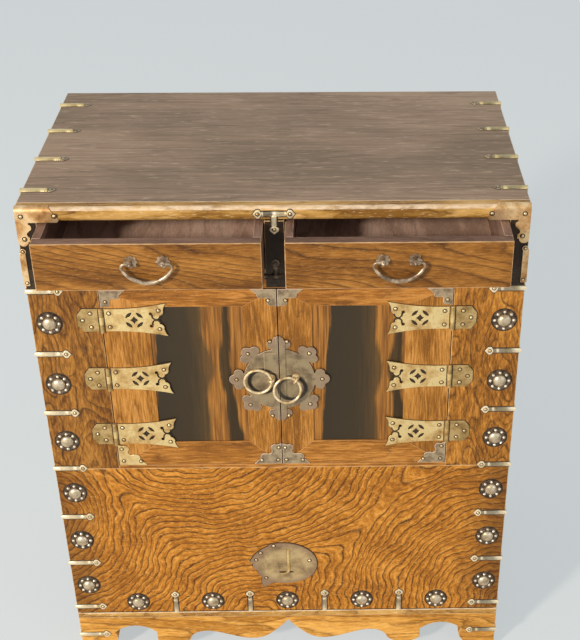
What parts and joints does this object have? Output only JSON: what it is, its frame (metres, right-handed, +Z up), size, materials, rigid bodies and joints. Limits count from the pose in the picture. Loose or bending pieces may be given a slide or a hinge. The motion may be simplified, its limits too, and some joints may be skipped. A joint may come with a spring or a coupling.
{
  "type": "korean two tier chest",
  "caption": "Small Korean elm chest: paired drawers with bail handles over hinged panelled doors with ring pulls, a deep fixed front and a scalloped bracket base, strapped in brass.",
  "frame": {"origin": "on the floor, at the middle of the cabinet's footprint", "axes": "+Z up, -Y out of the front, +X to the right when facing the front"},
  "size_m": [0.554, 0.3994, 0.657],
  "materials": {
    "golden_elm": "oiled and waxed elm with strong grain",
    "dark_elm": "aged dark brown elm, matte",
    "figured_panel": "golden wood with near-black heartwood streaks",
    "inner_board": "bare dark inner board",
    "bright_brass": "worn yellow brass, brushed",
    "antique_brass": "greyed antique brass",
    "dark_bronze": "dark pewter-toned bronze with polished highlights"
  },
  "bodies": {
    "cabinet": {"top_panel": "dark_elm", "top_front_rail": "golden_elm", "side_left": "dark_elm", "side_right": "dark_elm", "back_panel": "inner_board", "bottom_board": "golden_elm", "drawer_shelf": "inner_board", "drawer_rail": "golden_elm", "drawer_divider": "dark_elm", "front_posts": "dark_elm", "drawer_guides": "inner_board", "stile_left": "dark_elm", "stile_right": "dark_elm", "door_sill": "golden_elm", "lower_front_panel": "golden_elm", "base_front_apron": "golden_elm", "base_side_left": "golden_elm", "base_side_right": "golden_elm", "base_back_rail": "golden_elm", "corner_brackets": "bright_brass", "tee_brackets": "bright_brass", "post_edge_strips": "bright_brass", "straps_front_corners": "bright_brass", "straps_top": "bright_brass", "straps_bottom_row": "bright_brass", "bosses_sides": "dark_bronze", "bosses_bottom_row": "dark_bronze", "fish_plate": "antique_brass", "fish_bar": "antique_brass", "hinge_leaves_left": "bright_brass", "hinge_leaves_right": "bright_brass", "hinge_pins": "bright_brass"},
    "door_left": {"door_stile_meeting_left": "golden_elm", "door_stile_hinge_left": "golden_elm", "door_rails_left": "golden_elm", "door_panel_left": "figured_panel", "hinge_straps_left": "bright_brass", "door_corners_left": "antique_brass", "lock_plate_left": "antique_brass", "ring_eye_left": "bright_brass"},
    "ring_left": {"ring_left": "bright_brass"},
    "drawer_left": {"drawer_front_left": "golden_elm", "drawer_box_left": "inner_board", "drawer_bottom_left": "inner_board", "handle_posts_left": "dark_bronze"},
    "bail_left": {"bail_left": "dark_bronze"},
    "door_right": {"door_stile_meeting_right": "golden_elm", "door_stile_hinge_right": "golden_elm", "door_rails_right": "golden_elm", "door_panel_right": "figured_panel", "hinge_straps_right": "bright_brass", "door_corners_right": "antique_brass", "lock_plate_right": "antique_brass", "ring_eye_right": "bright_brass"},
    "ring_right": {"ring_right": "bright_brass"},
    "drawer_right": {"drawer_front_right": "golden_elm", "drawer_box_right": "inner_board", "drawer_bottom_right": "inner_board", "handle_posts_right": "dark_bronze"},
    "bail_right": {"bail_right": "dark_bronze"}
  },
  "joints": [
    {"name": "drawer_slide_left", "type": "slide", "parent": "cabinet", "child": "drawer_left", "axis": [0, -1, 0], "range_m": [-0.048, 0.13]},
    {"name": "bail_swing_left", "type": "hinge", "parent": "drawer_left", "child": "bail_left", "pos_m": [-0.132, -0.2245, 0.616], "axis": [-1, 0, 0], "range_deg": [0, 100]},
    {"name": "door_hinge_left", "type": "hinge", "parent": "cabinet", "child": "door_left", "pos_m": [-0.1965, -0.1725, 0.4], "axis": [0, 0, -1], "range_deg": [0, 170]},
    {"name": "drawer_slide_right", "type": "slide", "parent": "cabinet", "child": "drawer_right", "axis": [0, -1, 0], "range_m": [-0.048, 0.13]},
    {"name": "bail_swing_right", "type": "hinge", "parent": "drawer_right", "child": "bail_right", "pos_m": [0.132, -0.2245, 0.616], "axis": [-1, 0, 0], "range_deg": [0, 100]},
    {"name": "door_hinge_right", "type": "hinge", "parent": "cabinet", "child": "door_right", "pos_m": [0.1965, -0.1725, 0.4], "axis": [0, 0, 1], "range_deg": [0, 170]},
    {"name": "ring_lift_left", "type": "hinge", "parent": "door_left", "child": "ring_left", "pos_m": [-0.0092, -0.178, 0.44], "axis": [-0.1219, 0, 0.9925], "range_deg": [0, 70]},
    {"name": "ring_lift_right", "type": "hinge", "parent": "door_right", "child": "ring_right", "pos_m": [0.0187, -0.178, 0.44], "axis": [-0.766, 0, 0.6428], "range_deg": [0, 70]}
  ]
}
